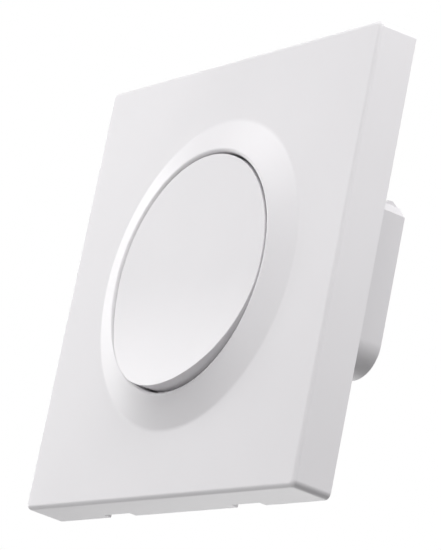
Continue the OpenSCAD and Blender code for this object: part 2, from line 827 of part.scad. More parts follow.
module terminal(i) {
    x = terminal_x(i);
    color("gold") difference() {
        union() {
            block(
                [x - terminal_w / 2, terminal_front, terminal_top - terminal_h],
                [x + terminal_w / 2, in_back, terminal_top]
            );
            block(
                [x - solder_pin / 2, power_front - lead_out, solder_z - solder_pin / 2],
                [x + solder_pin / 2, terminal_front + eps, solder_z + solder_pin / 2]
            );
        }
        translate([x, wire_y, terminal_top - terminal_h + wire_stop]) cylinder(h = terminal_h, r = wire_r);
        rod_y(x, terminal_z, wire_y, in_back + 1, clamp_screw_r);
    }
}

module clamp_screw(i) {
    x = terminal_x(i);
    color("silver") difference() {
        union() {
            rod_y(x, terminal_z, clamp_tip, in_back + eps, clamp_screw_r);
            rod_y(x, terminal_z, in_back, in_back + clamp_head_h, clamp_head_r);
        }
        block(
            [x - clamp_head_r - 1, in_back + clamp_head_h - 0.7, terminal_z - 0.35],
            [x + clamp_head_r + 1, in_back + clamp_head_h + 1, terminal_z + 0.35]
        );
    }
}

module case_screw(sx, z) {
    x = sx * boss_x;
    color("silver") difference() {
        union() {
            rod_y(x, z, -frame_t - eps, case_screw_len - frame_t, case_screw_r);
            rod_y(x, z, -frame_t - case_head_h, -frame_t, case_head_r);
        }
        block([x - 1.3, -frame_t - case_head_h - 1, z - 0.25], [x + 1.3, -frame_t - case_head_h + 0.6, z + 0.25]);
        block([x - 0.25, -frame_t - case_head_h - 1, z - 1.3], [x + 0.25, -frame_t - case_head_h + 0.6, z + 1.3]);
    }
}

front_cover();
rocker_cap();
rocker_tray();
mounting_frame();
rear_housing();
control_board();
push_switch();
push_plunger();
radio_board();
radio_shield();
controller_chip();
board_link();
power_board();
relay();
transformer();
filter_capacitor();
varistor();
fuse_resistor();
rectifier();
choke();
terminal(0);  // terminal_1
terminal(1);  // terminal_2
terminal(2);  // terminal_3
terminal(3);  // terminal_4
clamp_screw(0);  // clamp_screw_1
clamp_screw(1);  // clamp_screw_2
clamp_screw(2);  // clamp_screw_3
clamp_screw(3);  // clamp_screw_4
case_screw(-1, boss_top);  // case_screw_1
case_screw(1, boss_top);  // case_screw_2
case_screw(-1, -boss_low);  // case_screw_3
case_screw(1, -boss_low);  // case_screw_4
bumper(-1);  // bumper_left
bumper(1);  // bumper_right
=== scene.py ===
"""A round-paddle wall switch: mouldings, finishes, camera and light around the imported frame."""

import json
import logging
import math
from collections.abc import Callable, Iterator, Sequence
from contextlib import contextmanager
from dataclasses import dataclass
from enum import Enum

import bmesh
import bpy
from mathutils import Matrix, Vector


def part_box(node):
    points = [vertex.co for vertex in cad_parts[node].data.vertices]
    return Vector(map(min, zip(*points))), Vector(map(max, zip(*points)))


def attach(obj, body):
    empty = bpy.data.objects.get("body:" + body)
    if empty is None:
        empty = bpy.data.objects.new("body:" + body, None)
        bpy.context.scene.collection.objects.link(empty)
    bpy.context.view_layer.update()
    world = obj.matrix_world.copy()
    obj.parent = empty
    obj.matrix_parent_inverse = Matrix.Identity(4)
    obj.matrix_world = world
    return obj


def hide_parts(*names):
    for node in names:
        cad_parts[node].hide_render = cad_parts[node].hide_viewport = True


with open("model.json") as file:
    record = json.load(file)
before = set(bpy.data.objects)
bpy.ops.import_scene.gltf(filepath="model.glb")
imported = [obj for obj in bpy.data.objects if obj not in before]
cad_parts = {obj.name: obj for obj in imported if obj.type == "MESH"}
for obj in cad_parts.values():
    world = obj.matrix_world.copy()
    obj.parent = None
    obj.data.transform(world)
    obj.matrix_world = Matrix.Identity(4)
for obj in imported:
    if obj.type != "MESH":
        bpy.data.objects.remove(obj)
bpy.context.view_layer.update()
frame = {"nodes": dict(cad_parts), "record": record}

MM = 0.001
# How far a cutter runs past what it cuts
OVERRUN = 1 * MM
# Places this close count as level
NEAR = 0.01 * MM
# Points this close lie in one row
SAME = 0.001 * MM
# Doubled points this close are merged
MERGE = 1e-7
# A unit direction with more than this of an axis runs along it
ALONG = 0.9
# A unit direction with less than this of an axis is square to it
ACROSS = 0.1
# Edges that turn by more than this stay sharp
SHARP_ANGLE = math.radians(16)
# How much more the large faces count in a piece's shading, of 100
FACE_WEIGHT = 80
LOG = logging.getLogger("wall_switch")

Point = tuple[float, float, float]
Profile = Sequence[tuple[float, float]]
Test = Callable[[Vector, Vector], bool]


class Side(Enum):
    """The two sides of the switch, as the sign of X."""

    LEFT = -1
    RIGHT = 1


class Part(Enum):
    """What an edit-mode selection is made of."""

    VERT = "VERT"
    EDGE = "EDGE"
    FACE = "FACE"


class Axis(Enum):
    """A row axis: its direction, and the turn that lays a new cylinder along it."""

    Y = ((0, 1, 0), (math.pi / 2, 0, 0))
    Z = ((0, 0, 1), (0, 0, 0))


class Join(Enum):
    """How one closed shape works on another."""

    CUT = "DIFFERENCE"
    WELD = "UNION"


def deselect() -> None:
    """Leave edit mode and deselect every object."""
    if bpy.context.mode != "OBJECT":
        bpy.ops.object.mode_set(mode="OBJECT")
    bpy.ops.object.select_all(action="DESELECT")


def activate(piece: bpy.types.Object) -> None:
    """Make one object the only selected one and the active one.

    Args:
        piece: The object to work on.
    """
    deselect()
    piece.select_set(True)
    bpy.context.view_layer.objects.active = piece


def settle(name: str) -> bpy.types.Object:
    """Name the primitive just added and put its place into its mesh.

    Args:
        name: The object's new name.

    Returns:
        The object, at the origin, unturned and unscaled.
    """
    piece = bpy.context.object
    piece.name = name
    piece.data.name = name
    bpy.ops.object.transform_apply(location=True, rotation=True, scale=True)
    return piece


def add_block(name: str, low: Point, high: Point) -> bpy.types.Object:
    """Add a block between two corners.

    Args:
        name: The object's name.
        low: The lowest corner in metres.
        high: The highest corner in metres.

    Returns:
        The new block.
    """
    deselect()
    centre = [(a + b) / 2 for a, b in zip(low, high)]
    size = [b - a for a, b in zip(low, high)]
    bpy.ops.mesh.primitive_cube_add(size=1, location=centre, scale=size)
    return settle(name)


def add_rod(
    name: str, radius: float, start: Point, axis: Axis, length: float, steps: int = 48
) -> bpy.types.Object:
    """Add a cylinder that runs from a point along a row axis.

    Args:
        name: The object's name.
        radius: The cylinder's radius in metres.
        start: The middle of its first end.
        axis: The axis that it runs along.
        length: Its length along the axis in metres, negative to run back.
        steps: The number of sides.

    Returns:
        The new cylinder.
    """
    deselect()
    direction, turn = axis.value
    bpy.ops.mesh.primitive_cylinder_add(
        vertices=steps,
        radius=radius,
        depth=abs(length),
        location=Vector(start) + Vector(direction) * length / 2,
        rotation=turn,
    )
    return settle(name)


@contextmanager
def editing(piece: bpy.types.Object, part: Part = Part.FACE) -> Iterator[None]:
    """Edit one object with nothing selected, and return to object mode after.

    Args:
        piece: The object to edit.
        part: What selections are made of.
    """
    activate(piece)
    bpy.ops.object.mode_set(mode="EDIT")
    bpy.ops.mesh.select_mode(type=part.value)
    bpy.ops.mesh.select_all(action="DESELECT")
    yield
    bpy.ops.object.mode_set(mode="OBJECT")


def pick(piece: bpy.types.Object, part: Part, test: Test) -> int:
    """Select the vertices, edges or faces of an edited mesh by place and direction.

    Args:
        piece: The object in edit mode.
        part: What to select.
        test: Takes the middle, and the normal or an edge's unit direction; true selects it.

    Returns:
        How many were selected.
    """
    bpy.ops.mesh.select_mode(type=part.value)
    bpy.ops.mesh.select_all(action="DESELECT")
    mesh = bmesh.from_edit_mesh(piece.data)
    count = 0
    if part is Part.VERT:
        for vert in mesh.verts:
            vert.select = test(vert.co, vert.normal)
            count += vert.select
    elif part is Part.EDGE:
        for edge in mesh.edges:
            a, b = edge.verts[0].co, edge.verts[1].co
            edge.select = test((a + b) / 2, (b - a).normalized())
            count += edge.select
    else:
        for face in mesh.faces:
            face.select = test(face.calc_center_median(), face.normal)
            count += face.select
    mesh.select_flush_mode()
    bmesh.update_edit_mesh(piece.data)
    return count


def extrude(x: float, y: float, z: float) -> None:
    """Extrude what is selected in edit mode by a step in metres."""
    bpy.ops.mesh.extrude_region_move(TRANSFORM_OT_translate={"value": (x, y, z)})


def bevel_edges(piece: bpy.types.Object, test: Test, width: float, segments: int) -> None:
    """Round the edges that a test picks.

    Args:
        piece: The object in edit mode.
        test: Takes an edge's middle and unit direction.
        width: The rounding's radius in metres.
        segments: How many faces the rounding has.
    """
    if pick(piece, Part.EDGE, test):
        bpy.ops.mesh.bevel(offset=width, segments=segments, profile=0.5, clamp_overlap=False)


def apply_modifier(piece: bpy.types.Object, kind: str, **settings: object) -> None:
    """Add a modifier to an object and apply it.

    Args:
        piece: The object to change.
        kind: The modifier's type.
        settings: The modifier's properties.
    """
    activate(piece)
    modifier = piece.modifiers.new(kind.lower(), kind)
    for key, value in settings.items():
        setattr(modifier, key, value)
    bpy.ops.object.modifier_apply(modifier=modifier.name)


def combine(piece: bpy.types.Object, tools: Sequence[bpy.types.Object], join: Join) -> None:
    """Cut tools out of a piece, or weld them to it, and delete the tools.

    Args:
        piece: The object that stays.
        tools: The cutters, or the shapes to weld on.
        join: Whether the tools cut or are welded on.
    """
    for tool in tools:
        apply_modifier(piece, "BOOLEAN", object=tool, operation=join.value, solver="EXACT")
        bpy.data.objects.remove(tool, do_unlink=True)


def turn_profile(name: str, profile: Profile, steps: int) -> bpy.types.Object:
    """Turn an open profile about the Y axis, by extruding and resizing a ring.

    Args:
        name: The object's name.
        profile: Radius and distance in front of the wall plane, in metres.
        steps: The number of sides.

    Returns:
        The turned surface, open at both ends of the profile.
    """
    deselect()
    radius, front = profile[0]
    bpy.ops.mesh.primitive_circle_add(
        vertices=steps, radius=radius, location=(0, -front, 0), rotation=(math.pi / 2, 0, 0)
    )
    piece = settle(name)
    with editing(piece, Part.EDGE):
        bpy.ops.mesh.select_all(action="SELECT")
        for next_radius, next_front in profile[1:]:
            scale = next_radius / radius
            extrude(0, front - next_front, 0)
            bpy.ops.transform.resize(value=(scale, 1, scale), center_override=(0, 0, 0))
            radius, front = next_radius, next_front
    return piece


def arc(
    centre: tuple[float, float], radius: float, start: float, end: float, steps: int
) -> list[tuple[float, float]]:
    """List points on an arc.

    Args:
        centre: The arc's centre.
        radius: Its radius.
        start: Its first angle in degrees.
        end: Its last angle in degrees.
        steps: The number of stretches between points.

    Returns:
        The points, as pairs.
    """
    angles = [math.radians(start + (end - start) * i / steps) for i in range(steps + 1)]
    return [(centre[0] + radius * math.cos(a), centre[1] + radius * math.sin(a)) for a in angles]


def close_up(piece: bpy.types.Object) -> None:
    """Merge doubled points of a closed shell and turn its faces outwards.

    Args:
        piece: The object to mend.
    """
    with editing(piece, Part.VERT):
        bpy.ops.mesh.select_all(action="SELECT")
        bpy.ops.mesh.remove_doubles(threshold=MERGE)
        bpy.ops.mesh.normals_make_consistent(inside=False)


def finish_piece(
    piece: bpy.types.Object,
    material: bpy.types.Material,
    body: str,
    nodes: Sequence[str],
) -> None:
    """Smooth a piece, dress it, hang it on its body, and hide the CAD nodes that it replaces.

    Args:
        piece: The finished mesh.
        material: Its finish.
        body: The body that it rides on.
        nodes: The CAD nodes that it replaces.
    """
    activate(piece)
    bpy.ops.object.shade_smooth_by_angle(angle=SHARP_ANGLE)
    apply_modifier(piece, "WEIGHTED_NORMAL", keep_sharp=True, weight=FACE_WEIGHT)
    piece.data.materials.clear()
    piece.data.materials.append(material)
    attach(piece, body)
    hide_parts(*nodes)
    LOG.info("%s: %d faces, rides %s", piece.name, len(piece.data.polygons), body)


class Nodes:
    """A material's node tree, built a node at a time."""

    # The range that fractal noise mostly keeps to
    NOISE_LOW = 0.3
    NOISE_HIGH = 0.7
    # The Mix node's colour sockets, which share their names with its other sockets
    FIRST_COLOUR = 6
    LAST_COLOUR = 7
    MIXED_COLOUR = 2

    def __init__(self, name: str) -> None:
        """Start a material with one Principled shader.

        Args:
            name: The material's name.
        """
        self.material = bpy.data.materials.new(name)
        self.material.use_nodes = True
        self.tree = self.material.node_tree
        self.shader = self.tree.nodes["Principled BSDF"]

    def add(self, kind: str, **settings: object) -> bpy.types.Node:
        """Add a node and set its properties and inputs.

        Args:
            kind: The node's type.
            settings: Properties by name, and inputs as in_NAME with underscores for spaces.

        Returns:
            The new node.
        """
        node = self.tree.nodes.new(kind)
        for key, value in settings.items():
            if key.startswith("in_"):
                node.inputs[key[3:].replace("_", " ")].default_value = value
            else:
                setattr(node, key, value)
        return node

    def link(self, source: bpy.types.NodeSocket, target: bpy.types.NodeSocket) -> None:
        """Link two sockets."""
        self.tree.links.new(source, target)

    def feed(self, source: bpy.types.NodeSocket, name: str) -> None:
        """Link a socket to the shader's input of a name."""
        self.link(source, self.shader.inputs[name])

    def set(self, **values: object) -> None:
        """Set inputs of the shader by name, with underscores for spaces."""
        for key, value in values.items():
            self.shader.inputs[key.replace("_", " ")].default_value = value

    def place(self, scale: Point) -> bpy.types.NodeSocket:
        """Give Object coordinates in millimetres.

        Args:
            scale: How much each axis is stretched.

        Returns:
            The coordinates' socket.
        """
        coordinates = self.add("ShaderNodeTexCoord")
        mapping = self.add("ShaderNodeMapping", in_Scale=tuple(s / MM for s in scale))
        self.link(coordinates.outputs["Object"], mapping.inputs["Vector"])
        return mapping.outputs["Vector"]

    def noise(
        self, place: bpy.types.NodeSocket, scale: float, detail: float
    ) -> bpy.types.NodeSocket:
        """Give fractal noise.

        Args:
            place: The coordinates that it follows.
            scale: Its cycles a millimetre.
            detail: How many finer layers it has.

        Returns:
            The noise's socket.
        """
        node = self.add("ShaderNodeTexNoise", in_Scale=scale, in_Detail=detail)
        self.link(place, node.inputs["Vector"])
        return node.outputs["Fac"]

    def spread(
        self, source: bpy.types.NodeSocket, low: float, high: float
    ) -> bpy.types.NodeSocket:
        """Map noise to a range of values.

        Args:
            source: The noise's socket.
            low: What its low end becomes.
            high: What its high end becomes.

        Returns:
            The mapped value's socket.
        """
        node = self.add(
            "ShaderNodeMapRange",
            in_From_Min=self.NOISE_LOW,
            in_From_Max=self.NOISE_HIGH,
            in_To_Min=low,
            in_To_Max=high,
        )
        self.link(source, node.inputs["Value"])
        return node.outputs["Result"]

    def tint(
        self, source: bpy.types.NodeSocket, first: Sequence[float], last: Sequence[float]
    ) -> bpy.types.NodeSocket:
        """Blend two colours by a value.

        Args:
            source: The value's socket.
            first: The colour at 0.
            last: The colour at 1.

        Returns:
            The blended colour's socket.
        """
        node = self.add("ShaderNodeMix", data_type="RGBA")
        node.inputs[self.FIRST_COLOUR].default_value = (*first, 1)
        node.inputs[self.LAST_COLOUR].default_value = (*last, 1)
        self.link(source, node.inputs["Factor"])
        return node.outputs[self.MIXED_COLOUR]

    def bump(self, height: bpy.types.NodeSocket, depth: float) -> None:
        """Press a height into the surface.

        Args:
            height: The height's socket.
            depth: How deep it goes, in metres.
        """
        node = self.add("ShaderNodeBump", in_Strength=1.0, in_Distance=depth)
        self.link(height, node.inputs["Height"])
        self.feed(node.outputs["Normal"], "Normal")


@dataclass(frozen=True)
class Moulded:
    """A moulded plastic with a fine eroded grain."""

    name: str
    colour: Point
    roughness: float = 0.42
    grain_per_mm: float = 3.0
    grain_depth: float = 0.6e-6
    shade: float = 0.015
    grain_detail: float = 3
    roughness_spread: float = 0.04
    flow_per_mm: float = 0.035
    flow_detail: float = 2

    def material(self) -> bpy.types.Material:
        """Build the material.

        Returns:
            The material, clouded by the plastic's flow and grained all over.
        """
        nodes = Nodes(self.name)
        place = nodes.place((1, 1, 1))
        flow = nodes.spread(nodes.noise(place, self.flow_per_mm, self.flow_detail), 0, 1)
        dark = [c * (1 - self.shade) for c in self.colour]
        light = [min(c * (1 + self.shade), 1) for c in self.colour]
        nodes.feed(nodes.tint(flow, dark, light), "Base Color")
        grain = nodes.noise(place, self.grain_per_mm, self.grain_detail)
        smooth = self.roughness - self.roughness_spread
        rough = self.roughness + self.roughness_spread
        nodes.feed(nodes.spread(grain, smooth, rough), "Roughness")
        nodes.bump(grain, self.grain_depth)
        return nodes.material


@dataclass(frozen=True)
class Metal:
    """A turned, stamped or plated metal with fine tool marks along one axis."""

    name: str
    colour: Point
    roughness: float = 0.3
    marks: Point = (6, 1, 6)
    marks_per_mm: float = 1.2
    marks_detail: float = 3
    marks_depth: float = 1.5e-6
    marks_shade: float = 0.86
    smoother: float = 0.08
    rougher: float = 0.1

    def material(self) -> bpy.types.Material:
        """Build the material.

        Returns:
            The material, darker and rougher along its tool marks.
        """
        nodes = Nodes(self.name)
        nodes.set(Metallic=1.0)
        marks = nodes.noise(nodes.place(self.marks), self.marks_per_mm, self.marks_detail)
        dull = [c * self.marks_shade for c in self.colour]
        nodes.feed(nodes.tint(nodes.spread(marks, 0, 1), dull, self.colour), "Base Color")
        smooth, rough = self.roughness - self.smoother, self.roughness + self.rougher
        nodes.feed(nodes.spread(marks, smooth, rough), "Roughness")
        nodes.bump(marks, self.marks_depth)
        return nodes.material


@dataclass(frozen=True)
class Laminate:
    """A circuit board: solder mask over tracks that run in rows and columns."""

    name: str
    mask: Point
    track: Point
    pitch_mm: float = 2.5
    wander: float = 0.7
    track_start: float = 0.62
    track_full: float = 0.66
    track_height: float = 12e-6
    roughness: float = 0.35

    def material(self) -> bpy.types.Material:
        """Build the material.

        Returns:
            The material, with its tracks raised a little.
        """
        nodes = Nodes(self.name)
        place = nodes.place((1, 1, 1))
        cells = nodes.add(
            "ShaderNodeTexVoronoi",
            distance="CHEBYCHEV",
            feature="F2",
            in_Scale=1 / self.pitch_mm,
            in_Randomness=self.wander,
        )
        nodes.link(place, cells.inputs["Vector"])
        track = nodes.add(
            "ShaderNodeMapRange",
            in_From_Min=self.track_start,
            in_From_Max=self.track_full,
            in_To_Min=0,
            in_To_Max=1,
        )
        nodes.link(cells.outputs["Distance"], track.inputs["Value"])
        nodes.feed(nodes.tint(track.outputs["Result"], self.mask, self.track), "Base Color")
        nodes.set(Roughness=self.roughness)
        nodes.bump(track.outputs["Result"], self.track_height)
        return nodes.material


WHITE = (0.825, 0.809, 0.829)
HOUSING_WHITE = (0.76, 0.745, 0.766)

# Each finish has the name of its slot in the record
FINISHES = (
    Moulded("cover_white", WHITE, 0.38),
    Moulded("paddle_white", WHITE, 0.36),
    Moulded("tray_plastic", (0.70, 0.70, 0.69), 0.5),
    Moulded("frame_plastic", (0.66, 0.66, 0.65), 0.5, 2.2, 1.2e-6),
    Moulded("housing_white", HOUSING_WHITE, 0.48, 2.2, 1.2e-6),
    Moulded("switch_black", (0.03, 0.03, 0.03), 0.45),
    Moulded("plunger_plastic", (0.55, 0.5, 0.42), 0.45),
    Moulded("chip_black", (0.02, 0.02, 0.022), 0.5),
    Moulded("link_plastic", (0.025, 0.025, 0.025), 0.4),
    Moulded("relay_case", (0.02, 0.07, 0.26), 0.3),
    Moulded("transformer_tape", (0.6, 0.42, 0.06), 0.35),
    Moulded("capacitor_sleeve", (0.02, 0.025, 0.05), 0.28),
    Moulded("varistor_coat", (0.02, 0.1, 0.34), 0.4, 1.5, 6e-6),
    Moulded("fuse_coat", (0.42, 0.3, 0.16), 0.5, 1.5, 6e-6),
    Moulded("rectifier_black", (0.02, 0.02, 0.022), 0.5),
    Moulded("choke_sleeve", (0.025, 0.03, 0.03), 0.35),
    Moulded("bumper_rubber", (0.04, 0.04, 0.04), 0.8, 1.5, 8e-6),
    Metal("shield_tin", (0.62, 0.62, 0.6), 0.32, (1, 5, 5)),
    Metal("terminal_brass", (0.78, 0.54, 0.2), 0.28, (5, 5, 0.6)),
    Metal("clamp_steel", (0.66, 0.65, 0.62), 0.3),
    Metal("case_steel", (0.58, 0.58, 0.57), 0.34),
    Laminate("control_laminate", (0.01, 0.1, 0.035), (0.02, 0.18, 0.07)),
    Laminate("power_laminate", (0.01, 0.08, 0.03), (0.02, 0.15, 0.06), 3.6),
    Laminate("radio_laminate", (0.01, 0.02, 0.09), (0.02, 0.04, 0.16), 1.6),
)


@dataclass(frozen=True)
class FrontCover:
    """The square plate and its collar, one moulding open at the back."""

    size: float
    depth: float = 8 * MM
    draft: float = 0.25 * MM
    corner: float = 1.3 * MM
    corner_steps: int = 9
    edge: float = 0.8 * MM
    edge_steps: int = 8
    wall: float = 2 * MM
    face: float = 2 * MM
    collar_base: float = 30 * MM
    collar_rise: float = 2.1 * MM
    opening: float = 23.2 * MM
    lip: float = 0.6 * MM
    lip_steps: int = 12
    skirt: float = 1.5 * MM
    skirt_end: float = 4.5 * MM
    base_blend: float = 2.5 * MM
    base_steps: int = 5
    turns: int = 192
    notch_width: float = 8.4 * MM
    notch_depth: float = 1.5 * MM
    notch_place: float = 20.4 * MM
    notch_past_wall: float = 0.5 * MM
    sink: float = 0.1 * MM
    rib: float = 1.2 * MM
    rib_sink: float = 0.5 * MM
    rib_end: float = 48.6 * MM
    clip_width: float = 6 * MM
    clip_place: float = 31 * MM
    clip_start: float = 38.3 * MM
    clip_thick: float = 1.6 * MM
    clip_end: float = 1.4 * MM
    barb: float = 1.3 * MM
    barb_margin: float = 0.6 * MM
    barb_front: float = 2.6 * MM
    barb_share: float = 0.28

    def plate(self) -> bpy.types.Object:
        """Make the drafted plate with its hollow back.

        Returns:
            The plate, without the middle of its face.
        """
        half = self.size / 2
        plate = add_block("front_cover_moulding", (-half, -self.depth, -half), (half, 0, half))
        taper = 1 - self.draft / half
        outside = half - self.wall / 2
        front = -self.depth + NEAR
        with editing(plate):
            pick(plate, Part.FACE, lambda at, way: way.y < -ALONG)
            bpy.ops.transform.resize(value=(taper, 1, taper), center_override=(0, 0, 0))
            pick(plate, Part.FACE, lambda at, way: way.y > ALONG)
            bpy.ops.mesh.inset(thickness=self.wall)
            extrude(0, self.face - self.depth, 0)
            bevel_edges(
                plate,
                lambda at, way: abs(way.y) > ALONG and min(abs(at.x), abs(at.z)) > outside,
                self.corner,
                self.corner_steps,
            )
            bevel_edges(
                plate,
                lambda at, way: at.y < front and abs(way.y) < ACROSS,
                self.edge,
                self.edge_steps,
            )
            pick(
                plate,
                Part.FACE,
                lambda at, way: abs(way.y) > ALONG and max(abs(at.x), abs(at.z)) < MM,
            )
            bpy.ops.mesh.delete(type="ONLY_FACE")
        return plate

    def collar(self) -> bpy.types.Object:
        """Turn the collar, its rounded lip and the skirt behind it.

        Returns:
            The collar's surface, open where it meets the plate's face, front and back.
        """
        run = self.collar_base - self.opening - self.lip
        slope = math.degrees(math.atan2(self.collar_rise, run))
        rim = self.depth + self.collar_rise
        skirt_r = self.opening + self.skirt
        blend = self.base_blend / math.tan(math.radians(90 - slope / 2))
        base = (self.collar_base + blend, self.depth + self.base_blend)
        lip = (self.opening + self.lip, rim - self.lip)
        profile = [
            (skirt_r, self.depth - self.face),
            (skirt_r, self.skirt_end),
            (self.opening, self.skirt_end),
            *arc(lip, self.lip, 180, 90 - slope, self.lip_steps),
            *arc(base, self.base_blend, -90 - slope, -90, self.base_steps),
        ]
        return turn_profile("collar", profile, self.turns)

    def clips(self) -> list[bpy.types.Object]:
        """Make the four clips that catch in the frame's rim.

        Returns:
            The clips, sunk into the back of the face.
        """
        made = []
        half = self.clip_width / 2
        root = -(self.depth - self.face) - self.sink
        for x in (-self.clip_place, self.clip_place):
            for side in (-1, 1):
                inner, outer = self.clip_start, self.clip_start + self.clip_thick
                low, high = sorted((side * inner, side * outer))
                clip = add_block("clip", (x - half, root, low), (x + half, -self.clip_end, high))
                with editing(clip):
                    pick(clip, Part.FACE, lambda at, way, side=side: way.z * side < -ALONG)
                    bpy.ops.mesh.inset(thickness=self.barb_margin)
                    extrude(0, 0, -side * self.barb)
                    bpy.ops.transform.resize(
                        value=(1, self.barb_share, 1), center_override=(x, -self.barb_front, 0)
                    )
                made.append(clip)
        return made

    def ribs(self) -> list[bpy.types.Object]:
        """Make the four ribs that run from the skirt to the corners.

        Returns:
            The ribs, sunk into the skirt and the back of the face.
        """
        made = []
        half = self.rib / 2
        start = self.opening + self.skirt - self.rib_sink
        root = -(self.depth - self.face) - self.sink
        for quarter in range(4):
            rib = add_block("rib", (start, root, -half), (self.rib_end, -self.skirt_end, half))
            rib.data.transform(Matrix.Rotation(math.radians(45 + 90 * quarter), 4, "Y"))
            made.append(rib)
        return made

    def notches(self) -> list[bpy.types.Object]:
        """Make the cutters of the two pry notches in the bottom wall.

        Returns:
            The cutters.
        """
        bottom = -self.size / 2
        made = []
        for side in Side:
            x = side.value * self.notch_place
            low = (x - self.notch_width / 2, -self.notch_depth, bottom - OVERRUN)
            inner = bottom + self.wall + self.notch_past_wall
            high = (x + self.notch_width / 2, OVERRUN, inner)
            made.append(add_block("notch", low, high))
        return made

    def build(self) -> bpy.types.Object:
        """Join the plate and collar into one closed shell, and add what is behind it.

        Returns:
            The finished moulding.
        """
        plate, collar = self.plate(), self.collar()
        activate(plate)
        collar.select_set(True)
        bpy.ops.object.join()
        for front in (self.depth, self.depth - self.face):
            with editing(plate, Part.EDGE):
                mesh = bmesh.from_edit_mesh(plate.data)
                for edge in mesh.edges:
                    edge.select = edge.is_boundary and all(
                        abs(vert.co.y + front) < NEAR for vert in edge.verts
                    )
                mesh.select_flush_mode()
                bmesh.update_edit_mesh(plate.data)
                bpy.ops.mesh.fill(use_beauty=True)
        close_up(plate)
        combine(plate, self.notches(), Join.CUT)
        combine(plate, [*self.clips(), *self.ribs()], Join.WELD)
        return plate

    def dress(self, materials: dict[str, bpy.types.Material]) -> None:
        """Build the cover and finish it."""
        white = materials["cover_white"]
        finish_piece(self.build(), white, "base", ["front_cover"])


@dataclass(frozen=True)
class Paddle:
    """The round paddle: flat above, dished below, with a plain side wall."""

    radius: float = 22.75 * MM
    face_front: float = 10 * MM
    back: float = 6.4 * MM
    dish_radius: float = 87 * MM
    dish_start: float = -1.5 * MM
    row_margin: float = 0.4 * MM
    wall: float = 1.6 * MM
    edge: float = 0.12 * MM
    edge_reach: float = 0.3 * MM
    edge_lean: float = 0.6
    edge_steps: int = 4
    turns: int = 192

    def dish(self, z: float) -> float:
        """Say how far the face stands proud at a height."""
        drop = max(self.dish_start - z, 0)
        return self.dish_radius - math.sqrt(self.dish_radius**2 - drop**2)

    def row(self, z: float) -> Test:
        """Give the test that picks the face's points at a height."""
        return lambda at, way: at.y < SAME - self.face_front and abs(at.z - z) < SAME

    def build(self) -> bpy.types.Object:
        """Draw the face out into its dish, hollow the back and round the edge.

        Returns:
            The finished cap.
        """
        front = -self.face_front
        depth = self.face_front - self.back
        cap = add_rod("paddle_cap", self.radius, (0, front, 0), Axis.Y, depth, self.turns)
        steps = [math.tau * i / self.turns for i in range(self.turns)]
        heights = {round(self.radius * math.sin(step), 9) for step in steps}
        rows = sorted(z for z in heights if z < self.dish_start + self.row_margin)
        rim = self.radius - 2 * NEAR
        with editing(cap, Part.VERT):
            for z in rows:
                if z > self.row_margin - self.radius:
                    pick(cap, Part.VERT, self.row(z))
                    bpy.ops.mesh.vert_connect()
            for z in rows:
                pick(cap, Part.VERT, self.row(z))
                bpy.ops.transform.translate(value=(0, -self.dish(z), 0))
            pick(cap, Part.FACE, lambda at, way: way.y > ALONG)
            bpy.ops.mesh.inset(thickness=self.wall)
            extrude(0, self.wall - depth, 0)
            bevel_edges(
                cap,
                lambda at, way: at.y < front + self.edge_reach
                and abs(way.y) < self.edge_lean
                and at.xz.length > rim,
                self.edge,
                self.edge_steps,
            )
        return cap

    def dress(self, materials: dict[str, bpy.types.Material]) -> None:
        """Build the paddle and finish it."""
        white = materials["paddle_white"]
        finish_piece(self.build(), white, "rocker", ["rocker_cap"])


